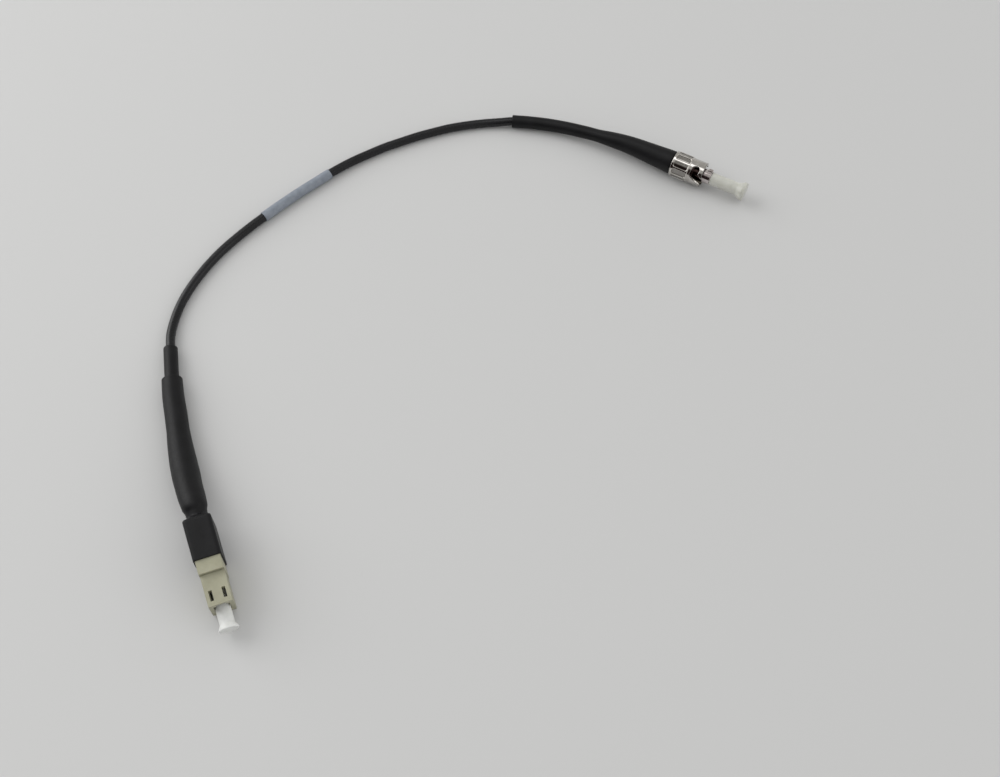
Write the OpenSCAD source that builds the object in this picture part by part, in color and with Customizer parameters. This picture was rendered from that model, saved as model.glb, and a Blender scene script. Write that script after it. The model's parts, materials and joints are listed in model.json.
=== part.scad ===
// Fibre optic adapter cord: a bayonet plug with a 2.5 mm ferrule on one end, a snap-in
// receptacle for a 1.25 mm ferrule on the other, and one single-fibre cord between them.
// Millimetres. The cord lies on the plane z = 0. The bayonet plug points along +X.

/* [Cord] */
// Outer diameter of the jacket
cord_d = 3; // [2.9:0.05:3.05]
// Bore of the jacket
jacket_bore = 1.9; // [1.7:0.05:2]
// Outer diameter of the tight buffer round the fibre
buffer_d = 0.9; // [0.8:0.05:0.95]
// Outer diameter of the bare glass fibre
glass_d = 0.125; // [0.12:0.005:0.13]
// Clearance between the layers of the cord, on the radius
layer_gap = 0.05; // [0.03:0.01:0.08]
// Wall of the shrink tube that carries the label
label_wall = 0.2; // [0.15:0.05:0.25]

/* [Bayonet plug] */
// Diameter of the fluted grip of the coupling nut
nut_grip_d = 9; // [8.8:0.1:9.4]
// Length of the fluted grip
nut_grip_l = 6.3; // [5.9:0.1:6.5]
// Diameter of the nut ahead of its grip
nut_body_d = 8.65; // [8.4:0.05:8.75]
// Length of the nut
nut_l = 11.5; // [11.2:0.1:11.7]
// Thickness of the nut's rear wall
nut_wall = 1.4; // [1:0.1:1.5]
// Bore of the nut
nut_bore_d = 7.1; // [7:0.05:7.2]
// Number of flutes in the grip
flutes = 10; // [8:1:12]
// Depth of a flute
flute_depth = 0.3; // [0.2:0.05:0.4]
// Width of a flute
flute_w = 2.05; // [1.8:0.05:2.2]
// Width of the bayonet slots
slot_w = 2.6; // [2:0.1:2.8]
// Diameter of the barrel ahead of its flange
barrel_d = 4.8; // [4.6:0.1:5]
// Reach of the barrel ahead of the nut's rear face
barrel_l = 14.2; // [14:0.1:14.6]
// Diameter of the stem that the nut turns on
stem_d = 5.2; // [5:0.05:5.3]
// Distance from the nut's rear face to the spring flange
flange_x = 6.9; // [6.6:0.1:7.1]
// Thickness of the spring flange
flange_t = 1; // [0.8:0.1:1.2]
// Running clearance of turning and sliding fits, on the radius
run_gap = 0.05; // [0.03:0.01:0.08]
// Wire diameter of the nut's spring
nut_wire_d = 0.6; // [0.5:0.05:0.65]
// Turns of the nut's spring
nut_turns = 3; // [2.6:0.1:3.1]
// Thickness of the spring washer
washer_t = 0.5; // [0.4:0.05:0.6]
// Thickness of the retaining clip
clip_t = 0.6; // [0.4:0.05:0.7]
// Outer diameter of the retaining clip
clip_d = 6.4; // [6:0.1:6.5]
// Depth of the clip's groove in the stem
clip_groove = 0.3; // [0.2:0.05:0.35]
// Diameter of the ferrule
ferrule_d = 2.5; // [2.49:0.005:2.505]
// Reach of the ferrule ahead of the barrel
ferrule_reach = 5.8; // [5.4:0.1:6]
// Depth of the ferrule's seat in the barrel
ferrule_seat = 8.6; // [7.6:0.1:9]
// Width of the key on the barrel
key_w = 1.4; // [1.2:0.1:1.6]
// Height of the key over the barrel
key_h = 0.8; // [0.6:0.05:0.9]
// Length of the key
key_l = 1.6; // [1.4:0.1:2]
// Diameter of the crimp post behind the stem
post_d = 3.3; // [3.1:0.05:3.3]
// Length of the crimp post
post_l = 7.6; // [7:0.1:8]
// Wall of the crimp sleeve
crimp_wall = 0.45; // [0.35:0.05:0.5]
// Length of the crimp sleeve round the jacket
crimp_tail_l = 4; // [3:0.1:4.2]
// Front diameter of the boot
boot_d = 7.3; // [7:0.1:7.5]
// Rear diameter of the boot
boot_tail_d = 4.4; // [4.2:0.1:4.6]
// Diameter of the dust cap's tube
cap_d = 4.4; // [4.2:0.1:4.8]
// Diameter of the dust cap's flared end
cap_flare_d = 6.4; // [6:0.1:6.8]
// Length of the dust cap
cap_l = 12.75; // [12.4:0.05:13.2]
// Length of the flared end
cap_flare_l = 3; // [2.6:0.1:3.4]

/* [Receptacle] */
// Width of the collar
collar_w = 7.3; // [7.1:0.1:7.6]
// Radius of the collar's long edges
collar_edge = 0.4; // [0.3:0.05:0.6]
// Height of the collar over the fibre's axis
collar_top = 7.35; // [7.1:0.05:7.6]
// Depth of the collar under the fibre's axis
collar_low = 5.25; // [5:0.05:5.5]
// Reach of the collar ahead of its sleeve
collar_front = 4.1; // [3.9:0.1:4.3]
// Reach of the collar back under its sleeve
collar_back = 12.5; // [12.3:0.1:12.7]
// Width of the front shell
shell_w = 6.9; // [6.7:0.1:7]
// Height of the front shell over the axis
shell_top = 5.8; // [5.7:0.1:6.4]
// Depth of the front shell under the axis
shell_low = 4.5; // [4.1:0.1:4.7]
// Reach of the front shell ahead of the sleeve
shell_front = 13.6; // [13.3:0.1:14.4]
// Side of the square port
port = 4.55; // [4.5:0.01:4.6]
// Thickness of the front shell's rear wall
shell_wall = 1.1; // [0.9:0.1:1.2]
// Width of the latch's channel over the port
latch_w = 3; // [2.9:0.05:3.1]
// Height of the latch's channel over the axis
latch_top = 5.1; // [5:0.05:5.2]
// Diameter of the inner plug's ferrule
inner_ferrule_d = 1.25; // [1.24:0.005:1.26]
// Distance of the mating plane ahead of the sleeve
mating_u = 4.7; // [4.6:0.05:4.8]
// Length of the inner ferrule
inner_ferrule_l = 6.5; // [6.4:0.1:6.7]
// Length of the alignment sleeve
align_l = 6.8; // [6.4:0.1:7]
// Wall of the alignment sleeve
align_wall = 0.175; // [0.15:0.005:0.2]
// Outer diameter of the sleeve holder's tube
holder_d = 2.9; // [2.8:0.05:3]
// Side of the inner plug's square body
inner_body = 4.5; // [4.4:0.01:4.5]
// Wire diameter of the inner spring
inner_wire_d = 0.3; // [0.25:0.01:0.32]
// Turns of the inner spring
inner_turns = 5.5; // [5:0.5:7]
// Diameter of the inner plug's crimp post
inner_post_d = 3; // [2.8:0.05:3]
// Length of the inner plug's crimp post
inner_post_l = 2.9; // [2.6:0.1:3]
// Wall of the inner crimp ring
ring_wall = 0.45; // [0.4:0.05:0.5]
// Diameter of the dust plug's neck
dust_neck_d = 4.4; // [4.3:0.02:4.44]
// Diameter of the dust plug's disc
dust_disc_d = 5.9; // [5.7:0.1:6.2]
// Reach of the dust plug ahead of the sleeve
dust_front = 20.1; // [19.6:0.1:20.5]
// Thickness of the dust plug's disc
dust_disc_t = 0.4; // [0.3:0.1:1]
// Length in which the dust plug's neck flares to its disc
dust_flare_l = 1.5; // [1:0.1:2]

/* [Sleeves] */
// Area of wall in a cross-section of the plug's shrink sleeve
plug_sleeve_area = 7.9; // [7.4:0.1:8.6]
// Clearance between a shrink sleeve and what it holds
sleeve_gap = 0.05; // [0.03:0.01:0.08]
// Wall of the receptacle's shrink sleeve
jack_sleeve_wall = 0.45; // [0.4:0.01:0.48]
// Wall of the thin sleeve under it
under_sleeve_wall = 0.7; // [0.6:0.05:0.8]

/* [Hidden] */
$fn = 64;
through = 1;            // overrun of a cut past the solid that it passes through
cord_sides = 8;         // sides of the cord and of what lies inside it
sleeve_sides = 20;      // sides of a shrink sleeve, 5 for each of its corners

// Places along the plug's axis, from the nut's rear face
nut_r = nut_grip_d / 2;
stem_back = 1.2;                                  // the stem's end behind the nut
post_end = -stem_back - post_l;
crimp_x = -stem_back - 0.1;                       // front of the crimp sleeve
crimp_step = post_end - 0.7;                      // where the crimp sleeve steps down to the jacket
crimp_end = crimp_step - crimp_tail_l;
crimp_web = 0.4;                                  // end wall between a crimp's two bores
crimp_bore = post_d + 0.8;
crimp_tail_bore = cord_d + 2 * layer_gap;
jacket_cut = crimp_step - 0.3;                    // where the jacket is cut back
buffer_cut = 3;                                   // where the buffer is stripped
ferrule_tip = barrel_l + ferrule_reach;
ferrule_back = barrel_l - ferrule_seat + 0.1;
washer_x = nut_wall + run_gap;
spring_from = washer_x + washer_t + run_gap;
spring_to = flange_x - run_gap;
fibre_bore = 0.14;                                // capillary of a ferrule
buffer_bore = buffer_d + 0.2;

// Places along the receptacle's axis, from the front edge of its shrink sleeve
ledge_u = collar_front - 0.9;                     // seat of the sleeve holder's flange
plug_front = mating_u - 2.4;                      // front of the inner plug
shoulder_u = plug_front - 1.7;                    // front of the shoulder that stops the flange
flange_u = shoulder_u - 0.6 - run_gap;            // front of the ferrule flange
flange_back = flange_u - 1.15;
flange_tube_l = 3.3;                              // tube behind the ferrule flange
flange_tail = flange_back - flange_tube_l;
inner_ferrule_back = mating_u - inner_ferrule_l;
body_back = -10.6;                                // rear of the inner plug's body
spigot_u = -7.5;                                  // front of the rear body, seat of the spring
rear_flange_back = body_back - 1.3;
inner_post_end = rear_flange_back - inner_post_l;
ring_u = -collar_back - 0.1;                      // front of the crimp ring
ring_step = inner_post_end - 0.7;
ring_end = ring_step - 2.5;
ring_bore = inner_post_d + 0.8;
ring_tail_bore = cord_d + 2 * layer_gap;
inner_jacket_cut = ring_step - 0.3;
inner_buffer_cut = inner_ferrule_back - 0.05;
boot_u = ring_end + 0.9;                          // front of the receptacle's boot

// The receptacle's sleeve over the collar is a box with rounded edges
box_corner = collar_edge + 2 * sleeve_gap;        // corner radius of the sleeve inside
sleeve_corner = box_corner + jack_sleeve_wall;
sleeve_side = collar_w / 2 + sleeve_gap + jack_sleeve_wall;
sleeve_low = collar_low + sleeve_gap + jack_sleeve_wall;

// It lies nose down and a little on its side, on one lower corner of its sleeve and one of its shell
jack_yaw = -41.1;
jack_roll = -3.5;
// depth of a place under the axis, on the side that is rolled down
function depth(v, low) = low * cos(jack_roll) - v * sin(jack_roll);
sleeve_depth = depth(sleeve_side - sleeve_corner, sleeve_low - sleeve_corner) + sleeve_corner;
jack_pitch = atan((sleeve_depth - depth(shell_w / 2, shell_low)) / shell_front);
jack_at = [-13.4, -93.75, sleeve_depth * cos(jack_pitch)];
jack_dir = [cos(jack_pitch) * cos(jack_yaw), cos(jack_pitch) * sin(jack_yaw), -sin(jack_pitch)];
plug_at = [43.35, 105.2, nut_r];

function plug_point(x) = plug_at + [x, 0, 0];
function jack_point(u) = jack_at + u * jack_dir;

// The cord's route, from the plug to the receptacle
in_plug_boot = [[25, 105.1, 4.4], [20, 104.7, 4.2]];
in_plug_sleeve = [
    [14.5, 104.1, 3.9], [9, 103.5, 3.5], [2.5, 102.5, 3.05], [-4, 101, 2.7],
    [-10, 99.1, 2.45], [-16.2, 96.6, 2.35]
];
to_label = [
    [-20, 94.5, 1.9], [-25, 91.5, 1.55], [-30, 87.8, 1.5], [-35, 83.5, 1.5], [-39, 79.4, 1.5],
    [-43, 75, 1.5], [-47, 70, 1.5], [-50.7, 65.2, 1.5], [-54.3, 59.7, 1.5], [-57.9, 53.6, 1.6],
    [-61.7, 45.5, 1.75]
];
in_label = [[-64, 39.8, 1.75], [-67, 32.2, 1.75], [-69.5, 25.2, 1.75], [-71.6, 18.8, 1.75]];
to_jack_sleeve = [
    [-73.4, 13, 1.65], [-75, 7, 1.5], [-76.3, 0.5, 1.5], [-77, -5.8, 1.5], [-77.15, -12, 1.5],
    [-76.85, -17.8, 1.5], [-75.9, -23.8, 1.5], [-74.1, -29.6, 1.6], [-71.6, -34.9, 2], [-68.4, -39.3, 2.45]
];
in_under_sleeve = [[-64.6, -44, 2.9], [-60.7, -48.7, 3.3]];
in_jack_sleeve = [[-56.3, -53.9, 3.5]];
in_jack_boot = [
    [-52.3, -58.1, 3.65], [-48.4, -62.3, 3.85], [-44, -66.9, 4.2], [-40, -70.8, 4.65],
    [-36.5, -74, 5.3], [-33.2, -76.9, 6.1], [-30, -79.5, 6.9]
];
route = concat(
    [plug_point(jacket_cut), plug_point(crimp_end)], in_plug_boot, in_plug_sleeve, to_label, in_label,
    to_jack_sleeve, in_under_sleeve, in_jack_sleeve, in_jack_boot,
    [jack_point(ring_end), jack_point(inner_jacket_cut)]
);

// Sweeping: a section is [half width, half height, corner radius, lift, roll]
function unit(v) = v / norm(v);
function last(list) = list[len(list) - 1];
function along(p, i) = i == 0 ? 0 : along(p, i - 1) + norm(p[i] - p[i - 1]);
function heading(p, i) =
    i == 0 ? unit(p[1] - p[0]) :
    i == len(p) - 1 ? unit(p[i] - p[i - 1]) :
    unit(unit(p[i + 1] - p[i]) + unit(p[i] - p[i - 1]));
function round_section(r) = [r, r, r, 0, 0];
function rounds(radii) = [for (r = radii) round_section(r)];
function same(p, r) = [for (i = p) round_section(r)];

// One ring of points round a place on the route, square to the route
function ring_points(p, dir, section, sides) =
    let (
        level = unit(cross(dir, [0, 0, 1])), over = cross(level, dir), roll = section[4],
        side = cos(roll) * level - sin(roll) * over, up = cos(roll) * over + sin(roll) * level,
        step = 360 / sides
    )
    [for (k = [0:sides - 1])
        let (
            angle = (k + 0.5) * step,
            across = sign(cos(angle)) * (section[0] - section[2]) + section[2] * cos(angle),
            height = sign(sin(angle)) * (section[1] - section[2]) + section[2] * sin(angle)
        )
        p + across * side + (height + section[3]) * up
    ];

function skin_faces(rings, sides, first, flip) =
    [for (i = [0:rings - 2], k = [0:sides - 1])
        let (
            a = first + i * sides + k, b = first + i * sides + (k + 1) % sides,
            c = b + sides, d = a + sides
        )
        each flip ? [[a, c, b], [a, d, c]] : [[a, b, c], [a, c, d]]
    ];

// A solid rod swept along a path
module swept_rod(path, section_list, sides) {
    n = len(path);
    points = [for (i = [0:n - 1]) each ring_points(path[i], heading(path, i), section_list[i], sides)];
    tail = (n - 1) * sides;
    polyhedron(points, concat(
        skin_faces(n, sides, 0, false),
        [for (k = [1:sides - 2]) [0, k + 1, k]],
        [for (k = [1:sides - 2]) [tail, tail + k, tail + k + 1]]
    ), convexity = 10);
}

// A tube swept along a path, with an outer and an inner section at each place
module swept_tube(path, outer, inner, sides) {
    n = len(path);
    outside = [for (i = [0:n - 1]) each ring_points(path[i], heading(path, i), outer[i], sides)];
    inside = [for (i = [0:n - 1]) each ring_points(path[i], heading(path, i), inner[i], sides)];
    m = n * sides;
    tail = (n - 1) * sides;
    polyhedron(concat(outside, inside), concat(
        skin_faces(n, sides, 0, false),
        skin_faces(n, sides, m, true),
        [for (k = [0:sides - 1]) let (j = (k + 1) % sides)
            each [[k, m + k, m + j], [k, m + j, j]]],
        [for (k = [0:sides - 1]) let (j = (k + 1) % sides)
            each [[tail + k, m + tail + j, m + tail + k], [tail + k, tail + j, m + tail + j]]]
    ), convexity = 10);
}

// Round pieces lie along X, as the connectors do
module rod(x0, x1, d) translate([x0, 0, 0]) rotate([0, 90, 0]) cylinder(h = x1 - x0, d = d);
// A turned solid: its outline is [place along the axis, radius]
module turned(outline) rotate([0, 90, 0]) rotate_extrude() polygon([for (p = outline) [p[1], p[0]]]);
module pipe(x0, x1, d, bore) difference() {
    rod(x0, x1, d);
    rod(x0 - through, x1 + through, bore);
}
module block(x0, x1, width, z0, z1) translate([x0, -width / 2, z0]) cube([x1 - x0, width, z1 - z0]);
// An oblong with round corners, from one corner of its box to the other
module round_oblong(low, high, r) {
    translate([low[0], low[1] + r]) square([high[0] - low[0], high[1] - low[1] - 2 * r]);
    translate([low[0] + r, low[1]]) square([high[0] - low[0] - 2 * r, high[1] - low[1]]);
    for (a = [low[0] + r, high[0] - r], b = [low[1] + r, high[1] - r])
        translate([a, b]) circle(r);
}
// A block with its four long edges rounded
module round_block(x0, x1, width, z0, z1, r) translate([x0, 0, 0]) rotate([90, 0, 90])
    linear_extrude(x1 - x0) round_oblong([-width / 2, z0], [width / 2, z1], r);
module around(angle) rotate([angle, 0, 0]) children();
module at_plug() translate(plug_at) children();
module at_jack() translate(jack_at) rotate([jack_roll, jack_pitch, jack_yaw]) children();

// A helical spring of round wire between two seats, with so many places to each curl
module coil(x0, x1, mean_d, wire_d, turns, curl_rings) {
    wire_sides = 6;
    rise = x1 - x0 - wire_d;
    steps = round(turns * curl_rings);
    radius = mean_d / (1 + cos(180 / curl_rings));  // as far outside the mean circle as the chords lie inside it
    path = [for (i = [0:steps])
        let (a = 360 * turns * i / steps)
        [radius * cos(a), radius * sin(a), x0 + wire_d / 2 + rise * i / steps]];
    echo(least_gap_of_coil = rise / turns - wire_d);
    rotate([0, 90, 0]) swept_rod(path, same(path, wire_d / 2), wire_sides);
}

/* Bayonet plug */

flute_ends = [0.9, 5.9];                          // a flute's ends along the grip
flute_first = 3.7;                                // angle of the first flute from the top
slot_detent = [8.8, 30];                          // place and angle of the slot's seat
slot_turn = [8.5, 56];                            // where the slot turns forwards
slot_mouth = [12.2, 88];                          // where it leaves the nut's front

flute_corner = 0.5;                               // radius of a flute's corners
flute_middle = [(flute_ends[0] + flute_ends[1]) / 2, 0];
flute_half = [(flute_ends[1] - flute_ends[0]) / 2, flute_w / 2];
// a flute's outline: four quarter turns round the centres of its corners
flute_outline = [for (quarter = [0:3], step = [0:3])
    let (angle = 90 * quarter + 30 * step, turn = 90 * quarter + 45)
    flute_middle + [
        sign(cos(turn)) * (flute_half[0] - flute_corner) + flute_corner * cos(angle),
        sign(sin(turn)) * (flute_half[1] - flute_corner) + flute_corner * sin(angle)
    ]];

// The grip: a ring that the flutes cut through, down to the nut's core
module nut_grip() difference() {
    rod(0, nut_grip_l, nut_grip_d);
    for (k = [0:flutes - 1]) around(flute_first + k * 360 / flutes)
        linear_extrude(nut_r + through) polygon(flute_outline);
}

// One bayonet slot: a round cutter stepped from the seat to the nut's front
module bayonet_slot() {
    steps = 5;
    for (leg = [[slot_detent, slot_turn], [slot_turn, slot_mouth]], i = [0:steps]) {
        place = leg[0] + (leg[1] - leg[0]) * i / steps;
        around(place[1]) translate([place[0], 0, 0]) cylinder(h = nut_r + through, d = slot_w);
    }
}

module plug_coupling_nut() color("silver") at_plug() difference() {
    union() {
        nut_grip();
        rod(0, nut_l, nut_grip_d - 2 * flute_depth);
        rod(flute_ends[1] + 0.1, nut_l, nut_body_d);
    }
    rod(-through, nut_l, stem_d + 2 * run_gap);
    rod(nut_wall, nut_l + through, nut_bore_d);
    for (turn = [0, 180]) around(turn) bayonet_slot();
}

module plug_spring_washer() color("gainsboro") at_plug()
    pipe(washer_x, washer_x + washer_t, nut_bore_d - 0.3, stem_d + 2 * run_gap);

module plug_spring() color("dimgray") at_plug()
    coil(spring_from, spring_to, (stem_d + nut_bore_d) / 2, nut_wire_d, nut_turns, 12);

key_angle = -15;                                  // the key's turn from the top
key_root = 0.7;                                   // depth of the key's root in the barrel

module plug_barrel() color("silver") at_plug() difference() {
    union() {
        rod(post_end, 0, post_d);
        rod(-stem_back, flange_x + flange_t, stem_d);
        rod(flange_x, flange_x + flange_t, nut_bore_d - 2 * run_gap);
        rod(flange_x, barrel_l, barrel_d);
        around(key_angle) block(barrel_l - key_l, barrel_l, key_w, barrel_d / 2 - key_root, barrel_d / 2 + key_h);
    }
    difference() {
        rod(-clip_t - 2 * run_gap, 0, stem_d + through);
        rod(-clip_t - 2 * run_gap, 0, stem_d - 2 * clip_groove);
    }
    rod(post_end - through, barrel_l, buffer_bore);
    rod(barrel_l - ferrule_seat, barrel_l + through, ferrule_d + 0.02);
}
clip_mouth = 2.4;                                 // gap that lets the clip spring on
clip_turn = 150;                                  // angle of that gap from the top

module plug_retaining_clip() color("gray") at_plug() difference() {
    pipe(-clip_t - run_gap, -run_gap, clip_d, stem_d - 2 * clip_groove + 0.04);
    around(clip_turn) translate([-clip_t - through, -clip_mouth / 2, 0])
        cube([clip_t + 2 * through, clip_mouth, clip_d]);
}
module plug_crimp_sleeve() color("silver") at_plug() difference() {
    union() {
        rod(crimp_step - crimp_web, crimp_x, crimp_bore + 2 * crimp_wall);
        rod(crimp_end, crimp_x, crimp_tail_bore + 2 * (crimp_wall - 0.1));
    }
    rod(crimp_step, crimp_x + through, crimp_bore);
    rod(crimp_end - through, crimp_x, crimp_tail_bore);
}

boot_path = concat([plug_point(crimp_x), plug_point(crimp_step), plug_point(crimp_end)], in_plug_boot);
boot_radii = [for (i = [0:len(boot_path) - 1])
    boot_d / 2 + (boot_tail_d - boot_d) / 2 * along(boot_path, i) / along(boot_path, len(boot_path) - 1)];
snug = (cord_d / 2 + layer_gap / 2) / cos(180 / sleeve_sides);   // bore of a sleeve on the cord

module plug_boot() color("#2b2c2e") difference() {
    swept_tube(boot_path, rounds(boot_radii), same(boot_path, snug), sleeve_sides);
    at_plug() {
        rod(crimp_step - crimp_web - 0.1, crimp_x + through, crimp_bore + 2 * crimp_wall + 2 * run_gap);
        rod(crimp_end - 0.1, crimp_x, crimp_tail_bore + 2 * (crimp_wall - 0.1) + 2 * run_gap);
    }
}

// The sleeve hugs the boot, then the cord, and keeps the same area of wall all along
plug_sleeve_path = concat([plug_point(-0.3)], boot_path, in_plug_sleeve);
plug_sleeve_bore = concat(
    [boot_radii[0] + sleeve_gap], [for (r = boot_radii) r + sleeve_gap],
    [for (i = in_plug_sleeve) snug + sleeve_gap / 2]
);
plug_sleeve_r = [for (r = plug_sleeve_bore) sqrt(r * r + plug_sleeve_area / PI)];

module plug_shrink_sleeve() color("#1d1e20")
    swept_tube(plug_sleeve_path, rounds(plug_sleeve_r), rounds(plug_sleeve_bore), sleeve_sides);

// A ferrule: a drilled rod with a chamfered tip
module ferrule(back, tip, d, chamfer) turned([
    [back, fibre_bore / 2], [back, d / 2], [tip - chamfer, d / 2], [tip, d / 2 - chamfer], [tip, fibre_bore / 2]
]);

module plug_ferrule() color("white") at_plug() ferrule(ferrule_back, ferrule_tip, ferrule_d, 0.25);

module plug_bare_fibre() color("lightcyan") at_plug() rod(buffer_cut, ferrule_tip, glass_d);

cap_x = barrel_l + run_gap;                       // the dust cap's open end
cap_end = cap_x + cap_l;
cap_lip = 1.2;                                    // width of the flare's rim
cap_bore = ferrule_d + 0.04;
cap_floor = ferrule_tip + 0.5;
module plug_dust_cap() color("#e4e4dc") at_plug() turned([
    [cap_x, cap_bore / 2], [cap_x, cap_d / 2], [cap_end - cap_flare_l, cap_d / 2],
    [cap_end - cap_lip, cap_flare_d / 2], [cap_end, cap_flare_d / 2], [cap_end, 0],
    [cap_floor, 0], [cap_floor, cap_bore / 2]
]);

/* Cord */

yarn_d = jacket_bore - 2 * layer_gap;
yarn_bore = buffer_d + 2 * layer_gap + 0.04;
flare_l = 0.8;                                    // length in which the yarn opens over a post

module cord_jacket() color("#101113")
    swept_tube(route, same(route, cord_d / 2), same(route, jacket_bore / 2), cord_sides);

// The yarn opens at each end to lie over the crimp post, under the crimp sleeve
post_yarn = [crimp_bore / 2 - layer_gap, (crimp_bore + post_d) / 4 + 0.01];
inner_yarn = [ring_bore / 2 - layer_gap, (ring_bore + inner_post_d) / 4 + 0.01];
yarn_path = concat(
    [plug_point(crimp_x - 0.4), plug_point(jacket_cut + flare_l)], route,
    [jack_point(inner_jacket_cut + flare_l), jack_point(ring_u - 0.4)]
);
module strength_yarn() color("khaki") swept_tube(
    yarn_path,
    rounds(concat([post_yarn[0], post_yarn[0]], [for (p = route) yarn_d / 2], [inner_yarn[0], inner_yarn[0]])),
    rounds(concat([post_yarn[1], post_yarn[1]], [for (p = route) yarn_bore / 2], [inner_yarn[1], inner_yarn[1]])),
    cord_sides
);

buffer_path = concat([plug_point(buffer_cut)], route, [jack_point(inner_buffer_cut)]);
module fibre_buffer() color("ivory") swept_rod(buffer_path, same(buffer_path, buffer_d / 2), cord_sides);

label_path = concat([last(to_label)], in_label);
module label_sleeve() color("#a9b4c4")
    swept_tube(label_path, same(label_path, snug + label_wall), same(label_path, snug), sleeve_sides);

/* Receptacle */

plug_cavity_top = 5.2;                            // top of the space for the inner plug's latch
flange_w = 5.4;                                   // the sleeve holder's flange
flange_low = -3.9;
flange_top = 6;
seat_gap = 0.05;                                  // clearance of seated pieces

module jack_collar() color("#b0ae96") at_jack() difference() {
    round_block(-collar_back, collar_front, collar_w, -collar_low, collar_top, collar_edge);
    block(-collar_back - through, ledge_u + through / 2, inner_body + 2 * seat_gap,
        -inner_body / 2 - seat_gap, plug_cavity_top);
    block(ledge_u, collar_front + through, flange_w + 2 * seat_gap, flange_low - seat_gap, flange_top + seat_gap);
}

latch_round = 0.8;                                // radius of the channel's upper corners
lug_top = 3.8;                                    // top of the channel for the latch's lugs
window = [9.05, 12.15];                            // ends of the windows for the latch's lugs
window_v = [1.4, 2.4];                            // their sides, each way from the middle
port_floor = collar_front + shell_wall;
port_step = port_floor + 0.8;                     // back of the latch's channels

module jack_front_shell() color("#a9a78f") at_jack() difference() {
    block(collar_front, shell_front, shell_w, -shell_low, shell_top);
    rod(collar_front - through, shell_front, holder_d + 2 * seat_gap);
    block(port_floor, shell_front + through, port, -port / 2, port / 2);
    block(port_step, shell_front + through, port, 0, lug_top);
    round_block(port_step, shell_front + through, latch_w, 0, latch_top, latch_round);
    for (side = [-1, 1])
        translate([0, side * (window_v[0] + window_v[1]) / 2, 0])
            block(window[0], window[1], window_v[1] - window_v[0], lug_top - 0.1, shell_top + through);
}

align_bore = inner_ferrule_d + 0.04;
align_d = align_bore + 2 * align_wall;
holder_from = shoulder_u + 0.3;
holder_to = mating_u + align_l / 2 + 0.4;

module jack_sleeve_holder() color("#c8c6b4") at_jack() difference() {
    union() {
        rod(holder_from, holder_to, holder_d);
        block(ledge_u + seat_gap, collar_front - seat_gap, flange_w, flange_low, flange_top);
    }
    rod(holder_from - through, mating_u + align_l / 2 + seat_gap, align_d + 2 * seat_gap);
    rod(holder_from, holder_to + through, inner_ferrule_d + 0.1);
}

align_slit = 0.2;                                 // width of the slit along the sleeve

module jack_alignment_sleeve() color("white") at_jack() difference() {
    pipe(mating_u - align_l / 2, mating_u + align_l / 2, align_d, align_bore);
    block(mating_u - align_l, mating_u + align_l, align_slit, 0, align_d);
}
spring_bore = 3.2;                                // bore of the inner plug's body
latch_arm_w = latch_w - 0.4;
latch_arm = [[1.8, 2.1], [1.8, 2.6], [0.8, 3], [-9.2, 4.9], [-9.2, 4.2], [0.2, 2.1]];
latch_lug = [-4.4, -3, 3.1, 3.8];                 // ends, bottom and top of the lugs

module inner_plug_body() color("#3a64b0") at_jack() difference() {
    union() {
        block(body_back, plug_front, inner_body, -inner_body / 2, inner_body / 2);
        translate([0, latch_arm_w / 2, 0]) rotate([90, 0, 0]) linear_extrude(latch_arm_w) polygon(latch_arm);
        block(latch_lug[0], latch_lug[1], inner_body - 2 * seat_gap, latch_lug[2], latch_lug[3]);
    }
    rod(shoulder_u, plug_front + through, spring_bore);
    rod(body_back, plug_front, inner_ferrule_d + 0.5);
    rod(body_back - through, flange_u + run_gap, spring_bore);
}

module inner_ferrule() color("white") at_jack()
    ferrule(inner_ferrule_back, mating_u, inner_ferrule_d, 0.15);

module inner_ferrule_flange() color("silver") at_jack() difference() {
    union() {
        rod(flange_back, flange_u, spring_bore - 0.2);
        rod(flange_tail, flange_u, 1.6);
    }
    rod(flange_tail - through, flange_u + through, buffer_d + 0.04);
    rod(inner_ferrule_back, flange_u + through, inner_ferrule_d + 0.01);
}

module inner_bare_fibre() color("lightcyan") at_jack() rod(inner_ferrule_back, mating_u, glass_d);

module inner_spring() color("dimgray") at_jack()
    coil(spigot_u + run_gap, flange_back - run_gap, 2.3, inner_wire_d, inner_turns, 8);

module inner_rear_body() color("#d8d8d8") at_jack() difference() {
    union() {
        rod(body_back, spigot_u, spring_bore - 2 * seat_gap);
        rod(rear_flange_back, body_back - seat_gap, inner_body - 2 * seat_gap);
        rod(inner_post_end, spigot_u, inner_post_d);
    }
    rod(inner_post_end - through, spigot_u + through, buffer_bore);
}

module inner_crimp_ring() color("silver") at_jack() difference() {
    union() {
        rod(ring_step - crimp_web, ring_u, ring_bore + 2 * ring_wall + 0.1);
        rod(ring_end, ring_u, ring_tail_bore + 2 * ring_wall);
    }
    rod(ring_step, ring_u + through, ring_bore);
    rod(ring_end - through, ring_u, ring_tail_bore);
}

// The receptacle's shrink sleeve: its outer radius at each place on its way to the neck
jack_sleeve_r = [3.25, 3.4, 3.5, 3.5, 3.85, 4.15, 4.25, 4.1, 4.05, 3.75, 3.3];
boot_places = concat(in_jack_boot, [jack_point(ring_end), jack_point(boot_u)]);
jack_boot_r = [for (i = [2:len(jack_sleeve_r) - 1]) jack_sleeve_r[i] - jack_sleeve_wall - sleeve_gap];
under_sleeve_r = snug + under_sleeve_wall;

module jack_boot() color("#2b2c2e") difference() {
    swept_tube(boot_places, rounds(jack_boot_r), same(boot_places, snug), sleeve_sides);
    at_jack() rod(ring_end - 0.1, boot_u + through, ring_tail_bore + 2 * ring_wall + 2 * run_gap);
}

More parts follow.
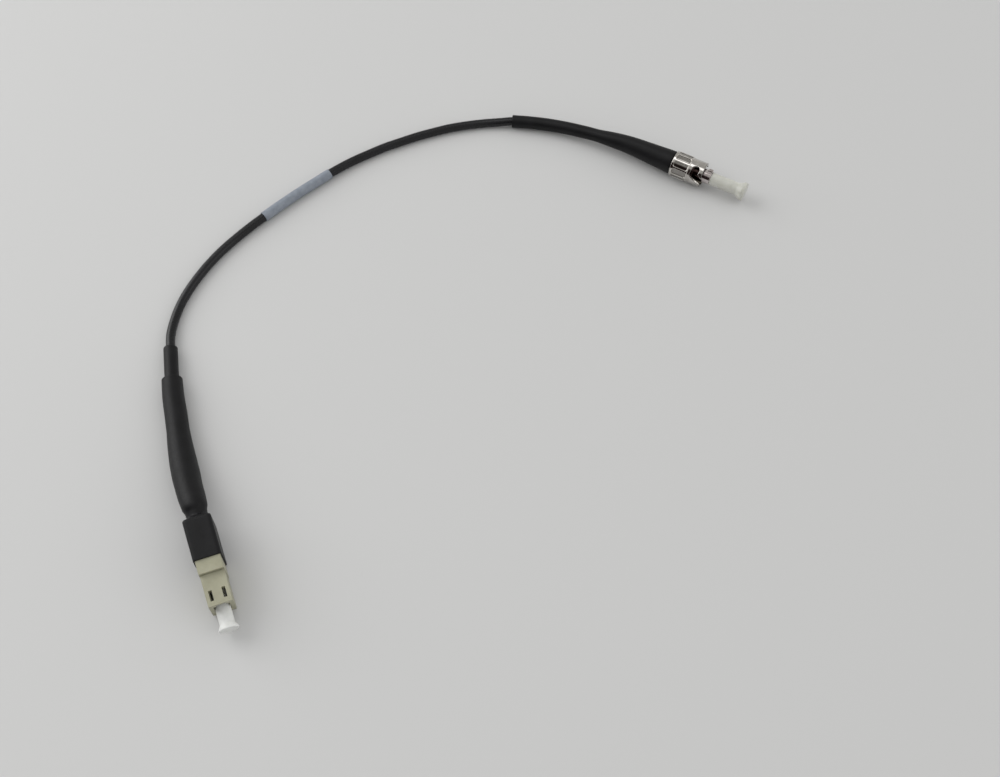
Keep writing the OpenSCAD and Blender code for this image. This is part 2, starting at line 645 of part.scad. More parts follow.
under_sleeve_path = concat([last(to_jack_sleeve)], in_under_sleeve, in_jack_sleeve);
module jack_under_sleeve() color("#232426")
    swept_tube(under_sleeve_path, same(under_sleeve_path, under_sleeve_r), same(under_sleeve_path, snug),
        sleeve_sides);

// Behind the collar the sleeve draws in to a neck, and over the collar it is a rounded box
neck_r = 3.05;                                    // outer radius of the neck
box_lift = (collar_top - collar_low) / 2;         // height of the collar's middle over the axis
box_half = [collar_w / 2 + sleeve_gap, (collar_top + collar_low) / 2 + sleeve_gap];
function box_section(wall) = [box_half[0] + wall, box_half[1] + wall, box_corner + wall, box_lift, jack_roll];
// a section between the neck and the box, at a share of the way
function shoulder(share, wall) =
    (1 - share) * round_section(neck_r - jack_sleeve_wall + wall) + share * box_section(wall);
neck_places = [[-14.9, 0], [-13.8, 0.4], [-13, 0.86], [-12.6, 1]];   // place, share

jack_sleeve_path = concat(
    [last(in_under_sleeve)], in_jack_sleeve, boot_places,
    [for (n = neck_places) jack_point(n[0])], [jack_point(0)]
);
jack_sleeve_outer = concat(
    rounds(jack_sleeve_r),
    [for (n = neck_places) shoulder(n[1], jack_sleeve_wall)], [box_section(jack_sleeve_wall)]
);
jack_sleeve_inner = concat(
    same([0, 1], under_sleeve_r + sleeve_gap),
    rounds([for (r = jack_boot_r) r + sleeve_gap]),
    [for (n = neck_places) shoulder(n[1], 0)], [box_section(0)]
);
module jack_shrink_sleeve() color("#1d1e20")
    swept_tube(jack_sleeve_path, jack_sleeve_outer, jack_sleeve_inner, sleeve_sides);

dust_back = port_floor + 0.4;
dust_disc_u = dust_front - dust_disc_t;
dust_bore = holder_d + 0.3;                       // clears the sleeve holder's tube
dust_floor = holder_to + 0.6;
module jack_dust_plug() color("#f2f2ee") at_jack() turned([
    [dust_back, dust_bore / 2], [dust_back, dust_neck_d / 2], [dust_disc_u - dust_flare_l, dust_neck_d / 2],
    [dust_disc_u, dust_disc_d / 2], [dust_front, dust_disc_d / 2], [dust_front, 0],
    [dust_floor, 0], [dust_floor, dust_bore / 2]
]);

plug_coupling_nut();
plug_spring_washer();
plug_spring();
plug_barrel();
plug_retaining_clip();
plug_crimp_sleeve();
plug_boot();
plug_shrink_sleeve();
plug_ferrule();
plug_bare_fibre();
plug_dust_cap();
cord_jacket();
strength_yarn();
fibre_buffer();
label_sleeve();
jack_collar();
jack_front_shell();
jack_sleeve_holder();
jack_alignment_sleeve();
inner_plug_body();
inner_ferrule();
inner_ferrule_flange();
inner_bare_fibre();
inner_spring();
inner_rear_body();
inner_crimp_ring();
jack_boot();
jack_under_sleeve();
jack_shrink_sleeve();
jack_dust_plug();
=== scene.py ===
# A fibre optic adapter cord: a bayonet plug, a snap-in receptacle, and the cord between them.
# Lengths are in millimetres until a mesh is made, and places are in the frame of the solid parts.
import json
import math

import bmesh
import bpy
import numpy as np
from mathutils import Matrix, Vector


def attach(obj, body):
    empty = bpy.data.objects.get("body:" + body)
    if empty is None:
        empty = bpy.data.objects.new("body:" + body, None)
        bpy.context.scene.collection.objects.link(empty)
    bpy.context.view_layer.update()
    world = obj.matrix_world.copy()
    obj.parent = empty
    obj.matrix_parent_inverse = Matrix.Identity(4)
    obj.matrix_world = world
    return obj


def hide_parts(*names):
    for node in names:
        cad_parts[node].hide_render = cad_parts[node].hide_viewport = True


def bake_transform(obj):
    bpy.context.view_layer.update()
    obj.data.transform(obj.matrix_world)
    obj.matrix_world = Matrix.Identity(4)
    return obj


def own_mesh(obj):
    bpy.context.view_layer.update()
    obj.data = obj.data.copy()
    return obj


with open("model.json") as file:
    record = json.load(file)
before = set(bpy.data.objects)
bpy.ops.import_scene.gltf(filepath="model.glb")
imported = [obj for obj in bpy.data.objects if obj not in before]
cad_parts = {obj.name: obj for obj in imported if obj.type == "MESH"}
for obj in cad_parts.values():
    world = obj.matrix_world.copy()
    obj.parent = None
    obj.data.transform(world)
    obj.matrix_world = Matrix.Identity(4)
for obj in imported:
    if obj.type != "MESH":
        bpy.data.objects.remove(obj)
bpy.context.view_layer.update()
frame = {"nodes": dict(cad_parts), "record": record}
mm = 0.001
# each node's body and material slot
bodyOf = {node: body for body, nodes in frame["record"]["behaviour"]["bodies"].items() for node in nodes}
slotOf = {part["node"]: part["material_slot"] for part in frame["record"]["subparts"]}
print("frame loaded:", len(frame["nodes"]), "nodes")

# Places shared by the pieces
plug = {
    "at": np.array([43.35, 105.2, 4.5]),       # the nut's rear face, on the plug's axis
    "along": np.array([1.0, 0.0, 0.0]),
    "crimpFront": -1.3,
    "crimpStep": -9.5,
    "crimpEnd": -13.5,
    "jacketCut": -9.8,
    "sleeveStart": -0.3,
}
jack = {
    "yaw": math.radians(-41.1),
    "roll": math.radians(-3.5),
    "sleeveSide": 4.15, "sleeveLow": 5.75, "sleeveCorner": 0.95,     # the sleeve's box over the collar
    "shellSide": 3.45, "shellLow": 4.5, "shellFront": 13.6,
    "ringEnd": -18.0,
    "jacketCut": -15.8,
    "bootFront": -17.1,
}


def depthUnderAxis(v, low):
    # how far a lower corner lies under the receptacle's axis, on the side that is rolled down
    return low * math.cos(jack["roll"]) - v * math.sin(jack["roll"])


jack["sleeveDepth"] = jack["sleeveCorner"] + depthUnderAxis(
    jack["sleeveSide"] - jack["sleeveCorner"], jack["sleeveLow"] - jack["sleeveCorner"])
jack["pitch"] = math.atan(
    (jack["sleeveDepth"] - depthUnderAxis(jack["shellSide"], jack["shellLow"])) / jack["shellFront"])
jack["at"] = np.array([-13.4, -93.75, jack["sleeveDepth"] * math.cos(jack["pitch"])])
jack["along"] = np.array([
    math.cos(jack["pitch"]) * math.cos(jack["yaw"]),
    math.cos(jack["pitch"]) * math.sin(jack["yaw"]),
    -math.sin(jack["pitch"]),
])


def onPlug(x):
    return plug["at"] + x * plug["along"]


def onJack(u):
    return jack["at"] + u * jack["along"]


# The cord's route, from the plug to the receptacle
route = {
    "inPlugBoot": [[25, 105.1, 4.4], [20, 104.7, 4.2]],
    "inPlugSleeve": [
        [14.5, 104.1, 3.9], [9, 103.5, 3.5], [2.5, 102.5, 3.05], [-4, 101, 2.7],
        [-10, 99.1, 2.45], [-16.2, 96.6, 2.35],
    ],
    "toLabel": [
        [-20, 94.5, 1.9], [-25, 91.5, 1.55], [-30, 87.8, 1.5], [-35, 83.5, 1.5], [-39, 79.4, 1.5],
        [-43, 75, 1.5], [-47, 70, 1.5], [-50.7, 65.2, 1.5], [-54.3, 59.7, 1.5], [-57.9, 53.6, 1.6],
        [-61.7, 45.5, 1.75],
    ],
    "inLabel": [[-64, 39.8, 1.75], [-67, 32.2, 1.75], [-69.5, 25.2, 1.75], [-71.6, 18.8, 1.75]],
    "toJackSleeve": [
        [-73.4, 13, 1.65], [-75, 7, 1.5], [-76.3, 0.5, 1.5], [-77, -5.8, 1.5], [-77.15, -12, 1.5],
        [-76.85, -17.8, 1.5], [-75.9, -23.8, 1.5], [-74.1, -29.6, 1.6], [-71.6, -34.9, 2], [-68.4, -39.3, 2.45],
    ],
    "inUnderSleeve": [[-64.6, -44, 2.9], [-60.7, -48.7, 3.3]],
    "inJackSleeve": [[-56.3, -53.9, 3.5]],
    "inJackBoot": [
        [-52.3, -58.1, 3.65], [-48.4, -62.3, 3.85], [-44, -66.9, 4.2], [-40, -70.8, 4.65],
        [-36.5, -74, 5.3], [-33.2, -76.9, 6.1], [-30, -79.5, 6.9],
    ],
}
cord = {"diameter": 3.0, "bore": 1.9, "length": 272.1, "snug": 1.544}
cordPlaces = np.array(
    [onPlug(plug["jacketCut"]), onPlug(plug["crimpEnd"])]
    + [place for stretch in route.values() for place in stretch]
    + [onJack(jack["ringEnd"]), onJack(jack["jacketCut"])], dtype=float)


def chords(places):
    # distance along a polyline to each of its points
    return np.concatenate([[0.0], np.cumsum(np.linalg.norm(np.diff(places, axis=0), axis=1))])


def smoothPath(places, step):
    # A cubic through the places: at each one the heading is the distance-weighted mean of its two chords
    # (Hermite form), sampled about every step. Returns points and, for each, its distance by the chords.
    places = np.asarray(places, dtype=float)
    at = chords(places)
    slope = np.diff(places, axis=0) / np.diff(at)[:, None]
    share = (np.diff(at)[:-1] / (at[2:] - at[:-2]))[:, None]
    heading = np.concatenate([slope[:1], slope[:-1] * (1 - share) + slope[1:] * share, slope[-1:]])
    s = np.linspace(0, at[-1], max(2, int(round(at[-1] / step)) + 1))
    i = np.clip(np.searchsorted(at, s, side="right") - 1, 0, len(at) - 2)
    h = (at[i + 1] - at[i])[:, None]
    t = (s - at[i])[:, None] / h
    points = ((2 * t**3 - 3 * t**2 + 1) * places[i] + (t**3 - 2 * t**2 + t) * h * heading[i]
              + (3 * t**2 - 2 * t**3) * places[i + 1] + (t**3 - t**2) * h * heading[i + 1])
    return points, s


def eased(s, at, values, reach):
    # values joined by straight lines over distance, then averaged over a reach to each side to round the corners
    step = s[1] - s[0]
    half = max(1, int(round(reach / step)))
    raw = np.interp(s, at, values)
    padded = np.concatenate([np.full(half, raw[0]), raw, np.full(half, raw[-1])])
    return np.convolve(padded, np.ones(2 * half + 1) / (2 * half + 1), mode="valid")


def crossFrames(points, roll=0.0):
    # sideways and upward unit vectors square to the path at each of its points, turned about it by roll
    ahead = np.gradient(points, axis=0)
    ahead /= np.linalg.norm(ahead, axis=1)[:, None]
    level = np.cross(ahead, [0.0, 0.0, 1.0])
    level /= np.linalg.norm(level, axis=1)[:, None]
    over = np.cross(level, ahead)
    c, s = np.cos(roll) * np.ones((len(points), 1)), np.sin(roll) * np.ones((len(points), 1))
    return c * level - s * over, c * over + s * level


def anglesRound(sides, first=0.0):
    # even angles round a circle, starting a share of one side further on
    return (np.arange(sides) + first) * 2 * math.pi / sides


def boxedRound(halfWide, halfHigh, corner, angles):
    # distance from the middle to a rectangle with round corners, along each angle: the nearer flat side, or
    # the corner's circle where the ray leaves past both flats. Sizes are columns, angles a row.
    c, s = np.abs(np.cos(angles))[None, :], np.abs(np.sin(angles))[None, :]
    hw, hh, r = halfWide[:, None], halfHigh[:, None], corner[:, None]
    flat = np.minimum(hw / np.maximum(c, 1e-9), hh / np.maximum(s, 1e-9))
    px, py = hw - r, hh - r
    along = px * c + py * s
    arc = along + np.sqrt(np.maximum(along**2 - (px**2 + py**2 - r**2), 0))
    inCorner = (flat * c > px) & (flat * s > py)
    return np.where(inCorner, arc, flat)


def gridMesh(name, rows, capped=False):
    # rows: array of rings (ring, point, xyz) in mm. Quads join neighbours, and a ring closes on itself. The last
    # ring joins the first one, or, where capped, each of the two ends in a fan to its middle.
    rings, sides = rows.shape[:2]
    index = np.arange(rings * sides).reshape(rings, sides)
    a, d = (index[:-1], index[1:]) if capped else (index, np.roll(index, -1, axis=0))
    b, c = np.roll(a, -1, axis=1), np.roll(d, -1, axis=1)
    vertices = rows.reshape(-1, 3)
    faces = np.stack([a, b, c, d], axis=-1).reshape(-1, 4).tolist()
    for ring in (0, rings - 1) if capped else ():
        near, far = index[ring], np.roll(index[ring], -1)
        middle = np.full(sides, len(vertices))
        vertices = np.vstack([vertices, rows[ring].mean(axis=0)])
        faces += np.stack([near, far, middle] if ring else [far, near, middle], axis=-1).tolist()
    mesh = bpy.data.meshes.new(name)
    mesh.from_pydata((vertices * mm).tolist(), [], faces)
    mesh.validate()
    return mesh


def newObject(name, data):
    obj = bpy.data.objects.new(name, data)
    bpy.context.scene.collection.objects.link(obj)
    return obj


def addPiece(name, mesh, material, node, sharp=35, rides=True):
    # the finished object: its material, its smooth faces, the body that it rides on and the node it stands for
    obj = newObject(name, mesh)
    mesh.materials.clear()
    mesh.materials.append(material)
    mesh.shade_smooth()
    mesh.set_sharp_from_angle(angle=math.radians(sharp))
    if rides:
        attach(obj, bodyOf[node])
    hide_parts(node)
    return obj


def sweptTube(name, points, outer, inner, angles, lift=0.0, roll=0.0, lip=0.12):
    # outer and inner: distances (ring, angle) from the path. The wall's two ends are cut square, with their
    # edges rounded over three rings, each drawn in and moved back by its two shares of lip.
    side, up = crossFrames(points, roll)
    around = np.cos(angles)[None, :, None] * side[:, None, :] + np.sin(angles)[None, :, None] * up[:, None, :]
    base = points[:, None, :] + (lift * np.ones(len(points)))[:, None, None] * up[:, None, :]
    ahead = np.cross(up, side)

    def ring(i, distance, shift):
        return base[i] + distance[:, None] * around[i] + shift * ahead[i]

    edge = [(1, 0), (0.3, 0.3), (0, 1)]
    last = len(points) - 1
    rows = [ring(0, outer[0] - drawnIn * lip, back * lip) for drawnIn, back in edge]
    rows += [ring(i, outer[i], 0) for i in range(1, last)]
    rows += [ring(last, outer[last] - drawnIn * lip, -back * lip) for drawnIn, back in reversed(edge)]
    rows += [ring(last, inner[last], 0)]
    rows += [ring(i, inner[i], 0) for i in range(last - 1, 0, -1)]
    rows += [ring(0, inner[0], 0)]
    return gridMesh(name, np.array(rows))


def evenTube(name, points, tube, material, node):
    # a tube of one bore and wall along the points of a path
    angles = anglesRound(tube["sides"], tube["firstSide"])
    inner = np.full((len(points), len(angles)), tube["inner"])
    mesh = sweptTube(name, points, inner + tube["wall"], inner, angles, lip=tube["lip"])
    return addPiece(name, mesh, material, node)


def cleaned(mesh):
    # doubles merged, slivers dissolved, faces turned outwards; both distances in metres
    joinWithin, sliver = 1e-7, 1e-8
    bm = bmesh.new()
    bm.from_mesh(mesh)
    bmesh.ops.remove_doubles(bm, verts=bm.verts, dist=joinWithin)
    bmesh.ops.dissolve_degenerate(bm, dist=sliver, edges=bm.edges)
    bmesh.ops.recalc_face_normals(bm, faces=bm.faces)
    bm.to_mesh(mesh)
    bm.free()
    return mesh


def turned(name, outline, origin, along, sides=96):
    # a closed outline of (distance along, radius) turned round the axis; a point on the axis becomes a pole
    outline = np.asarray(outline, dtype=float)
    along = along / np.linalg.norm(along)
    side = np.cross(along, [0.0, 0.0, 1.0])
    side /= np.linalg.norm(side)
    up = np.cross(side, along)
    angles = anglesRound(sides)
    around = np.cos(angles)[:, None] * side + np.sin(angles)[:, None] * up
    rows = (origin + outline[:, 0, None, None] * along + outline[:, 1, None, None] * around[None])
    return cleaned(gridMesh(name, rows))


def rounded(outline, radii, steps=5):
    # each corner of a closed outline becomes an arc of its own radius, tangent to both its edges
    corners = [np.asarray(p, dtype=float) for p in outline]
    points = []
    for k, corner in enumerate(corners):
        radius = radii[k]
        if radius <= 0:
            points.append(corner)
            continue
        before, after = corners[k - 1] - corner, corners[(k + 1) % len(corners)] - corner
        before, after = before / np.linalg.norm(before), after / np.linalg.norm(after)
        half = math.acos(np.clip(np.dot(before, after), -1, 1)) / 2
        reach = radius / math.tan(half)
        middle = corner + (before + after) / np.linalg.norm(before + after) * radius / math.sin(half)
        start, end = corner + before * reach - middle, corner + after * reach - middle
        for t in np.linspace(0, 1, steps):
            arm = start * (1 - t) + end * t
            points.append(middle + arm / np.linalg.norm(arm) * radius)
    return points


def softened(node):
    # a merged copy of a node's mesh with its flat faces joined; the distance in metres
    joinWithin, flatWithin = 2e-6, math.radians(1)
    bm = bmesh.new()
    bm.from_mesh(frame["nodes"][node].data)
    bmesh.ops.remove_doubles(bm, verts=bm.verts, dist=joinWithin)
    bmesh.ops.dissolve_limit(bm, angle_limit=flatWithin, verts=bm.verts, edges=bm.edges)
    mesh = bpy.data.meshes.new(node + "Soft")
    bm.to_mesh(mesh)
    bm.free()
    return mesh


def withBevel(obj, width):
    # every edge where the faces turn by more than a limit is rounded by width
    bevel = obj.modifiers.new("roundedEdges", "BEVEL")
    bevel.width, bevel.segments = width * mm, 3
    bevel.limit_method, bevel.angle_limit = "ANGLE", math.radians(32)


def hexColour(code):
    # sRGB hex to linear
    parts = [int(code[i:i + 2], 16) / 255 for i in (1, 3, 5)]
    return (*[c / 12.92 if c <= 0.04045 else ((c + 0.055) / 1.055) ** 2.4 for c in parts], 1.0)


def addNode(tree, kind, settings=None, links=None, stops=()):
    # one shader node: its settings by property or socket, its links as socket: source, a ramp's stops in order
    node = tree.nodes.new("ShaderNode" + kind)
    for key, value in (settings or {}).items():
        if isinstance(key, str) and hasattr(node, key) and key not in node.inputs:
            setattr(node, key, value)
        else:
            node.inputs[key].default_value = value
    for key, source in (links or {}).items():
        tree.links.new(source, node.inputs[key])
    for k, (place, colour) in enumerate(stops):
        element = node.color_ramp.elements[k] if k < 2 else node.color_ramp.elements.new(place)
        element.position, element.color = place, colour
    return node


def newMaterial(name, settings):
    # a material with one principled shader, and Object coordinates in millimetres
    material = bpy.data.materials.new(name)
    material.use_nodes = True
    tree = material.node_tree
    tree.nodes.clear()
    shader = addNode(tree, "BsdfPrincipled", settings)
    addNode(tree, "OutputMaterial", links={"Surface": shader.outputs[0]})
    where = addNode(tree, "TexCoord")
    inMillimetres = addNode(tree, "Mapping", {"Scale": (1000, 1000, 1000)}, {"Vector": where.outputs["Object"]})
    return material, tree, shader, inMillimetres.outputs[0]


def ranged(tree, value, span, to=(0.0, 1.0)):
    # a value carried over from one span to another, and held between the ends of that one
    settings = dict(zip(("From Min", "From Max", "To Min", "To Max"), (*span, *to)))
    return addNode(tree, "MapRange", settings, {"Value": value}).outputs[0]


def noise(tree, at, size, detail, roughness=0.5):
    # a noise with features of about size, in millimetres
    settings = {"Scale": 1 / size, "Detail": detail, "Roughness": roughness}
    return addNode(tree, "TexNoise", settings, {"Vector": at}).outputs["Fac"]


def twoTones(tree, pattern, finish, span):
    # the finish's dark tone where the pattern is under the span, and its light one where it is over it
    stops = [(place, hexColour(finish[tone])) for place, tone in zip(span, ("dark", "light"))]
    return addNode(tree, "ValToRGB", links={0: pattern}, stops=stops).outputs[0]


def addSkin(tree, shader, finish, tone, glossBy, reliefBy):
    # the tone, the gloss between its two values by one pattern, and the relief by another
    relief = addNode(tree, "Bump", {"Strength": 1.0, "Distance": finish["relief"] * mm}, {"Height": reliefBy})
    gloss = ranged(tree, glossBy, (0.3, 0.7), finish["gloss"])      # a noise's values lie mostly in this span
    tree.links.new(tone, shader.inputs["Base Color"])
    tree.links.new(gloss, shader.inputs["Roughness"])
    tree.links.new(relief.outputs[0], shader.inputs["Normal"])


def plasticMaterial(name, finish):
    # moulded or extruded plastic: two close tones in soft clouds, a fine pebbled skin, uneven gloss
    material, tree, shader, at = newMaterial(name, finish.get("shader", {}))
    clouds = noise(tree, at, finish["cloud"], 3.0, 0.55)
    grain = noise(tree, at, finish["grain"], 4.0, 0.6)
    addSkin(tree, shader, finish, twoTones(tree, clouds, finish, (0.35, 0.65)), grain, grain)
    return material


def metalMaterial(name, finish):
    # plated or turned metal: two close tones in patches where handling dulls the gloss, and faint turning marks,
    # which are a grain drawn out across the plug's axis. Painted shade darkens the tone by the distance from that
    # axis, and painted brown shade behind a place along it.
    paintedShadeReach, drawnOut = 10.0, 0.12
    material, tree, shader, at = newMaterial(name, {"Metallic": 1.0})
    clouds = noise(tree, at, finish["cloud"], 4.0, 0.6)
    tone = twoTones(tree, clouds, finish, (0.3, 0.7))
    fromNut = addNode(tree, "Mapping", {"Location": tuple(-plug["at"])}, {"Vector": at}).outputs[0]
    # painted shade: dark brown behind a place along the axis, where the nut covers the barrel
    if "paintedShadeSpan" in finish:
        ahead = addNode(tree, "SeparateXYZ", links={0: fromNut}).outputs["X"]
        behind = ranged(tree, ahead, finish["paintedShadeSpan"], (1.0, 0.0))
        tone = addNode(tree, "MixRGB", {"Color2": hexColour(finish["paintedShadeTone"])},
                       {"Fac": behind, "Color1": tone}).outputs[0]
    # painted shade: dark bands by the distance from the axis, in the nut's bore and at the foot of the flutes'
    # walls
    if "paintedShade" in finish:
        across = addNode(tree, "VectorMath", {"operation": "MULTIPLY", 1: (0, 1, 1)}, {0: fromNut})
        radius = addNode(tree, "VectorMath", {"operation": "LENGTH"}, {0: across.outputs[0]})
        share = addNode(tree, "Math", {"operation": "MULTIPLY", 1: 1 / paintedShadeReach}, {0: radius.outputs["Value"]})
        paintedShade = addNode(tree, "ValToRGB", links={0: share.outputs[0]},
                        stops=[(r / paintedShadeReach, hexColour(colour)) for r, colour in finish["paintedShade"]])
        tone = addNode(tree, "MixRGB", {"blend_type": "MULTIPLY", "Fac": 1.0},
                       {"Color1": tone, "Color2": paintedShade.outputs[0]}).outputs[0]
    marks = addNode(tree, "Mapping", {"Scale": (1, drawnOut, drawnOut)}, {"Vector": at}).outputs[0]
    addSkin(tree, shader, finish, tone, clouds, noise(tree, marks, finish["grain"], 3.0))
    return material


materials = {
    # bright nickel over brass: warm grey metal, mirror-like, duller in patches, with painted shade in the
    # bore and at the foot of the flutes' walls
    "nickel": metalMaterial("brightNickelPlate", {
        "dark": "#b9b5b0", "light": "#dfdcd8", "cloud": 2.5, "grain": 0.12, "relief": 0.001, "gloss": (0.04, 0.11),
        "paintedShade": [(3.55, "#7d776d"), (3.85, "#ffffff"), (4.205, "#ffffff"), (4.22, "#3b3631"), (4.285, "#3b3631"),
                  (4.305, "#ffffff")]}),
    # the barrel is of the same plate, with painted brown shade where the nut covers it
    "barrel": metalMaterial("brightNickelBarrel", {
        "dark": "#b5acab", "light": "#ddd7d5", "cloud": 2.0, "grain": 0.12, "relief": 0.0015,
        "gloss": (0.08, 0.18), "paintedShadeSpan": (10.6, 12.0), "paintedShadeTone": "#4a3b39"}),
    # drawn spring wire and stainless turnings: greyer and duller than the plate
    "steel": metalMaterial("turnedStainlessSteel", {
        "dark": "#8d8c8a", "light": "#b5b4b1", "cloud": 1.5, "grain": 0.2, "relief": 0.003, "gloss": (0.22, 0.4)}),
    # shrunk polyolefin tube: charcoal, satin, with a faint orange-peel skin
    "shrink": plasticMaterial("shrunkPolyolefin", {
        "dark": "#0c0c0e", "light": "#131315", "cloud": 6, "grain": 0.5, "relief": 0.02, "gloss": (0.4, 0.58),
        "shader": {"Specular IOR Level": 0.26}}),
    # extruded cable PVC: near black, glossy, very slightly uneven
    "jacket": plasticMaterial("extrudedJacketPvc", {
        "dark": "#0b0b0e", "light": "#121216", "cloud": 8, "grain": 1.2, "relief": 0.012, "gloss": (0.22, 0.34),
        "shader": {"Specular IOR Level": 0.4}}),
    # thin grey-blue shrink tube: paper-like tone under a satin skin
    "label": plasticMaterial("printedLabelTube", {
        "dark": "#7b828c", "light": "#8a919b", "cloud": 2, "grain": 0.35, "relief": 0.008, "gloss": (0.34, 0.48)}),
    # moulded polyester housing: beige with an olive cast, spark-eroded satin skin
    "housing": plasticMaterial("mouldedHousingPbt", {
        "dark": "#9c9a83", "light": "#a8a68f", "cloud": 4, "grain": 0.18, "relief": 0.004, "gloss": (0.38, 0.5),
        "shader": {"Subsurface Weight": 0.04, "Subsurface Radius": (0.6 * mm, 0.5 * mm, 0.3 * mm)}}),
    # soft polyethylene cap: milky, lets light through its wall
    "capClear": plasticMaterial("mouldedCapPolyethylene", {
        "dark": "#bfbfb6", "light": "#cacac2", "cloud": 3, "grain": 0.3, "relief": 0.006, "gloss": (0.3, 0.42),
        "shader": {"Subsurface Weight": 0.5, "Subsurface Radius": (1.6 * mm, 1.6 * mm, 1.4 * mm)}}),
    # the same in white, nearly opaque
    "capWhite": plasticMaterial("mouldedCapWhite", {
        "dark": "#dddedb", "light": "#e6e7e4", "cloud": 3, "grain": 0.3, "relief": 0.005, "gloss": (0.3, 0.42),
        "shader": {"Subsurface Weight": 0.3, "Subsurface Radius": (1.0 * mm, 1.0 * mm, 0.9 * mm)}}),
    # sintered zirconia: bright white, polished
    "zirconia": plasticMaterial("polishedZirconia", {
        "dark": "#ecebe6", "light": "#f4f3f0", "cloud": 2, "grain": 0.1, "relief": 0.0005, "gloss": (0.06, 0.12)}),
    # bend relief elastomer: matte black
    "boot": plasticMaterial("mouldedElastomer", {
        "dark": "#1d1e20", "light": "#27282a", "cloud": 3, "grain": 0.3, "relief": 0.01, "gloss": (0.6, 0.75)}),
    # loose aramid yarn: straw yellow, matte, with a fibrous grain
    "aramid": plasticMaterial("aramidYarn", {
        "dark": "#c9ad4e", "light": "#dcc878", "cloud": 1, "grain": 0.12, "relief": 0.03, "gloss": (0.55, 0.7)}),
    # the fibre's tight buffer: ivory, smooth, satin
    "buffer": plasticMaterial("tightBufferPvc", {
        "dark": "#e4e1d4", "light": "#eeece2", "cloud": 2, "grain": 0.3, "relief": 0.003, "gloss": (0.35, 0.45)}),
    # the hidden inner plug: plain moulded blue
    "innerBlue": plasticMaterial("mouldedInnerHousing", {
        "dark": "#2c55a4", "light": "#3b66b4", "cloud": 3, "grain": 0.2, "relief": 0.004, "gloss": (0.35, 0.45)}),
    # bare glass fibre: clear and bright
    "silica": plasticMaterial("drawnSilica", {
        "dark": "#e6f2f4", "light": "#f2f8f8", "cloud": 1, "grain": 0.1, "relief": 0.0002, "gloss": (0.02, 0.05),
        "shader": {"Transmission Weight": 0.9, "IOR": 1.46}}),
}
finishOfSlot = {
    "nickel_plated_brass": "nickel", "stainless_steel": "steel", "spring_steel": "steel",
    "crimp_copper_plated": "barrel", "boot_elastomer": "boot", "shrink_tube_black": "shrink",
    "zirconia_ceramic": "zirconia", "silica_glass": "silica", "cap_translucent": "capClear",
    "jacket_black": "jacket", "aramid_yellow": "aramid", "buffer_white": "buffer",
    "label_tube_grey": "label", "housing_beige": "housing", "inner_plastic_blue": "innerBlue",
    "cap_white": "capWhite",
}
for node, obj in frame["nodes"].items():
    obj.data.materials.clear()
    obj.data.materials.append(materials[finishOfSlot[slotOf[node]]])
print("materials made:", len(materials))

# Cord
jacketTube = {"inner": cord["bore"] / 2, "wall": (cord["diameter"] - cord["bore"]) / 2, "step": 0.8, "sides": 28,
              "firstSide": 0.5, "lip": 0.08}
points = smoothPath(cordPlaces, jacketTube["step"])[0]
jacket = evenTube("cordJacket", points, jacketTube, materials["jacket"], "cord_jacket")
print("cord made:", round(float(chords(points)[-1]), 1), "mm")

# The plug's shrink sleeve over its boot
plugSleeve = {"bootFront": 3.65, "bootTail": 2.2, "gap": 0.05, "cordGap": 0.025, "wallArea": 7.9, "sides": 72,
              "step": 0.5, "roundOver": 1.5}
bootPlaces = [onPlug(plug[name]) for name in ("crimpFront", "crimpStep", "crimpEnd")] + route["inPlugBoot"]
bootAt = chords(np.array(bootPlaces, dtype=float))
bootRadii = plugSleeve["bootFront"] + (plugSleeve["bootTail"] - plugSleeve["bootFront"]) * bootAt / bootAt[-1]
sleevePlaces = np.array([onPlug(plug["sleeveStart"])] + bootPlaces + route["inPlugSleeve"], dtype=float)
overBoot = np.concatenate([[bootRadii[0]], bootRadii]) + plugSleeve["gap"]
overCord = np.full(len(route["inPlugSleeve"]), cord["snug"] + plugSleeve["cordGap"])
sleeveBore = np.concatenate([overBoot, overCord])
sleeveOuter = np.sqrt(sleeveBore**2 + plugSleeve["wallArea"] / math.pi)


def wrinkles(s, angles, folds):
    # shallow dents and ridges: each fold is a bell over distance and angle, its depth in mm (inwards is minus)
    total = np.zeros((len(s), len(angles)))
    for place, length, angle, spread, depth, lean in folds:
        turn = angles[None, :] - math.radians(angle) - lean * (s[:, None] - place)
        turn = (turn + math.pi) % (2 * math.pi) - math.pi
        total += depth * np.exp(-((s[:, None] - place) / length) ** 2 - (turn / math.radians(spread)) ** 2)
    return total


points, along = smoothPath(sleevePlaces, plugSleeve["step"])
angles = anglesRound(plugSleeve["sides"])
at = chords(sleevePlaces)
outer, inner = [eased(along, at, radii, plugSleeve["roundOver"])[:, None] * np.ones((1, len(angles)))
                for radii in (sleeveOuter, sleeveBore)]
# each fold: place from the sleeve's front, length, angle, spread in degrees, depth, lean
plugFolds = [(24, 5, 60, 30, -0.12, 0.02), (20, 4, 110, 22, 0.08, -0.03), (33, 6, 85, 28, -0.06, 0.0),
             (12, 6, 130, 24, -0.05, 0.01)]
outer = outer + wrinkles(along, angles, plugFolds)
addPiece("plugShrinkSleeve", sweptTube("plugShrinkSleeve", points, outer, inner, angles),
         materials["shrink"], "plug_shrink_sleeve")

